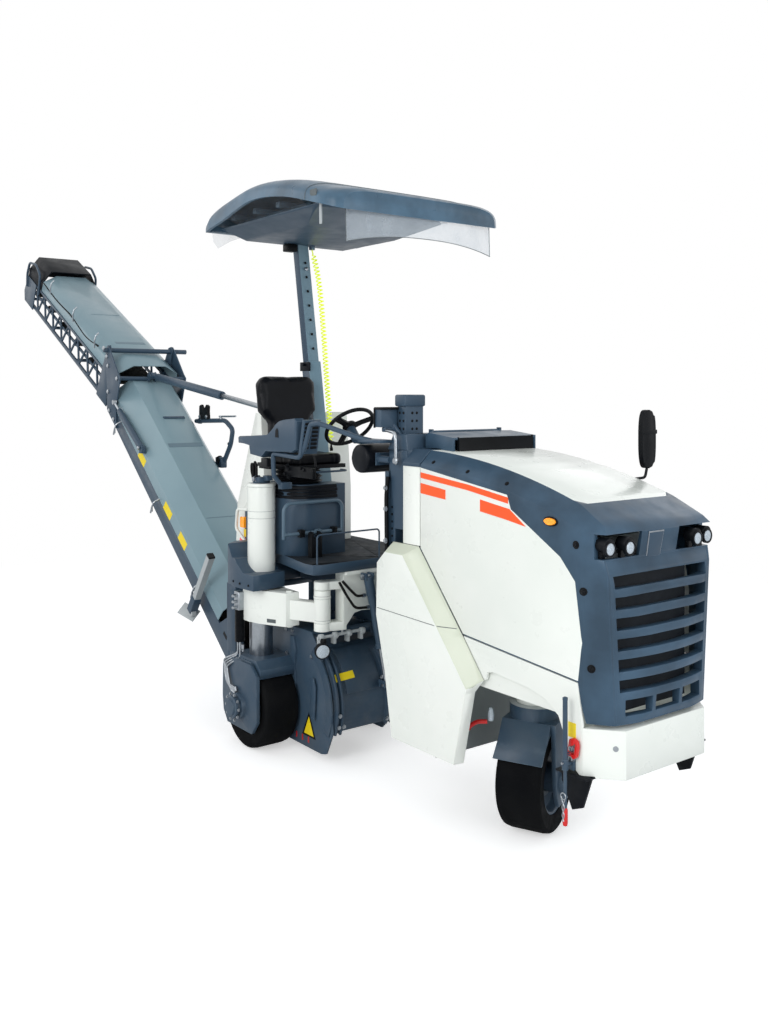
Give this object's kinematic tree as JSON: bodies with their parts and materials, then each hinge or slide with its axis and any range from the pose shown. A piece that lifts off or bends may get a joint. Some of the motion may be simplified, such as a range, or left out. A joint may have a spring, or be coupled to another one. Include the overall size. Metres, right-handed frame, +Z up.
{
  "type": "cold planer milling machine",
  "caption": "Compact rear-loading road milling machine on solid rubber wheels, with a folding discharge conveyor, an operator's canopy and a swinging rear wheel leg.",
  "frame": {"origin": "centre of the whole machine's bounding box, on the ground plane under the wheels", "axes": "+X towards the hood and grille, away from the conveyor; +Y to the machine's left; +Z up"},
  "size_m": [9.12, 1.529, 4.1731],
  "materials": {
    "cream_paint": "semi-gloss cream-white paint",
    "slate_paint": "satin blue-grey paint",
    "grey_paint": "matt mid-grey paint",
    "cover_paint": "satin pale blue-grey paint",
    "black_paint": "satin black paint",
    "black_plastic": "matt black plastic",
    "seat_cover": "dark woven seat cover",
    "solid_tyre": "solid rubber",
    "belt_rubber": "matt rubber belt",
    "bare_steel": "bright machined steel",
    "tool_steel": "worn dark steel",
    "clear_panel": "clear tinted sheet",
    "cable_jacket": "yellow-green cable jacket",
    "red_paint": "gloss red paint"
  },
  "bodies": {
    "frame": {"chassis": "slate_paint", "wheel_well": "grey_paint", "platform": "slate_paint", "cross_beam": "cream_paint", "drum_housing": "slate_paint", "drum_cover": "slate_paint", "skirts": "cream_paint", "fenders": "cream_paint", "bumper": "cream_paint", "front_fittings": "red_paint", "engine_block": "grey_paint", "rear_panel": "cream_paint", "rear_console": "slate_paint", "hip_roll": "black_plastic", "seat_pedestal": "slate_paint", "seat_suspension": "black_plastic", "seat_cushion": "seat_cover", "seat_backrest": "seat_cover", "armrest_console": "slate_paint", "foot_rail": "bare_steel", "steering_column": "slate_paint", "water_tank": "cream_paint", "mast_outer": "slate_paint", "rear_left_fork": "slate_paint"},
    "swing_arm": {"swing_arm": "cream_paint"},
    "rear_right_leg": {"rear_right_column": "bare_steel", "rear_right_fork": "slate_paint", "rear_right_casing": "cream_paint"},
    "rear_right_wheel": {"rear_right_wheel_tyre": "solid_tyre", "rear_right_wheel_rim": "slate_paint"},
    "rear_left_wheel": {"rear_left_wheel_tyre": "solid_tyre", "rear_left_wheel_rim": "slate_paint"},
    "front_steer": {"front_fork": "slate_paint"},
    "front_wheel": {"front_wheel_tyre": "solid_tyre", "front_wheel_rim": "slate_paint"},
    "drum": {"milling_drum": "tool_steel", "drum_tools": "tool_steel"},
    "hood": {"hood_panels": "cream_paint", "hood_band": "slate_paint", "grille": "slate_paint", "work_lamps": "black_plastic", "mirror": "black_plastic"},
    "steering_wheel": {"steering_wheel": "black_plastic"},
    "canopy": {"canopy_frame": "slate_paint", "canopy_roof": "slate_paint", "canopy_visor": "clear_panel", "coiled_cable": "cable_jacket"},
    "conveyor_yoke": {"conveyor_yoke": "slate_paint"},
    "lower_conveyor": {"lower_trough": "slate_paint", "lower_cover": "cover_paint", "lower_belt": "belt_rubber", "fold_frame": "slate_paint"},
    "upper_conveyor": {"upper_frame": "slate_paint", "upper_cover": "cover_paint", "upper_belt": "belt_rubber", "head_hood": "black_paint"},
    "lift_barrel": {"lift_barrel": "slate_paint"},
    "lift_rod": {"lift_rod": "bare_steel"}
  },
  "joints": [
    {"name": "swing_arm_pivot", "type": "hinge", "parent": "frame", "child": "swing_arm", "pos_m": [1.95219, -0.3455, 1], "axis": [0, 0, 1], "range_deg": [0, 178]},
    {"name": "rear_right_leg_pivot", "type": "hinge", "parent": "swing_arm", "child": "rear_right_leg", "pos_m": [1.43219, -0.5305, 1], "axis": [0, 0, 1], "range_deg": [-178, 0]},
    {"name": "rear_right_wheel_spin", "type": "hinge", "parent": "rear_right_leg", "child": "rear_right_wheel", "pos_m": [1.43219, -0.5305, 0.31], "axis": [0, 1, 0], "continuous": true},
    {"name": "rear_left_wheel_spin", "type": "hinge", "parent": "frame", "child": "rear_left_wheel", "pos_m": [1.43219, 0.3995, 0.31], "axis": [0, 1, 0], "continuous": true},
    {"name": "front_steer_pivot", "type": "hinge", "parent": "frame", "child": "front_steer", "pos_m": [3.61219, 0.0545, 0.7], "axis": [0, 0, 1], "range_deg": [-19, 151]},
    {"name": "front_wheel_spin", "type": "hinge", "parent": "front_steer", "child": "front_wheel", "pos_m": [3.61219, 0.0545, 0.31], "axis": [0.9135, 0.4067, 0], "continuous": true},
    {"name": "drum_spin", "type": "hinge", "parent": "frame", "child": "drum", "pos_m": [1.68219, 0.0545, 0.38], "axis": [0, 1, 0], "continuous": true},
    {"name": "hood_hinge", "type": "hinge", "parent": "frame", "child": "hood", "pos_m": [2.94719, 0.0545, 2.3], "axis": [0, -1, 0], "range_deg": [0, 55]},
    {"name": "steering_wheel_turn", "type": "hinge", "parent": "frame", "child": "steering_wheel", "pos_m": [1.85719, -0.0455, 2.3], "axis": [-0.7001, 0, 0.7141], "range_deg": [-95, 755]},
    {"name": "canopy_height", "type": "slide", "parent": "frame", "child": "canopy", "axis": [-0.165, 0, 0.9863], "range_m": [-0.65, 0]},
    {"name": "conveyor_slew", "type": "hinge", "parent": "frame", "child": "conveyor_yoke", "pos_m": [0.79219, -0.0355, 1.025], "axis": [0, 0, 1], "range_deg": [-25, 25]},
    {"name": "conveyor_luff", "type": "hinge", "parent": "conveyor_yoke", "child": "lower_conveyor", "pos_m": [0.79219, -0.0355, 0.5], "axis": [0, 1, 0], "range_deg": [-12, 4]},
    {"name": "conveyor_fold", "type": "hinge", "parent": "lower_conveyor", "child": "upper_conveyor", "pos_m": [-1.86842, -0.0355, 2.96956], "axis": [0, 1, 0], "range_deg": [0, 100]},
    {"name": "lift_rod_pivot", "type": "hinge", "parent": "conveyor_yoke", "child": "lift_rod", "pos_m": [0.79219, -0.0355, 2.4], "axis": [0, 1, 0], "range_deg": [-12.8, 4.4]},
    {"name": "lift_barrel_slide", "type": "slide", "parent": "lift_rod", "child": "lift_barrel", "axis": [-0.9914, 0, 0.131], "range_m": [-0.1368, 0.4004]}
  ],
  "couplings": [
    {"joint": "rear_right_leg_pivot", "follows": "swing_arm_pivot", "ratio": -1},
    {"joint": "steering_wheel_turn", "follows": "front_steer_pivot", "ratio": 5},
    {"joint": "lift_rod_pivot", "follows": "conveyor_luff", "ratio": 1.05},
    {"joint": "lift_barrel_slide", "follows": "conveyor_luff", "m_per_rad": -1.888}
  ]
}
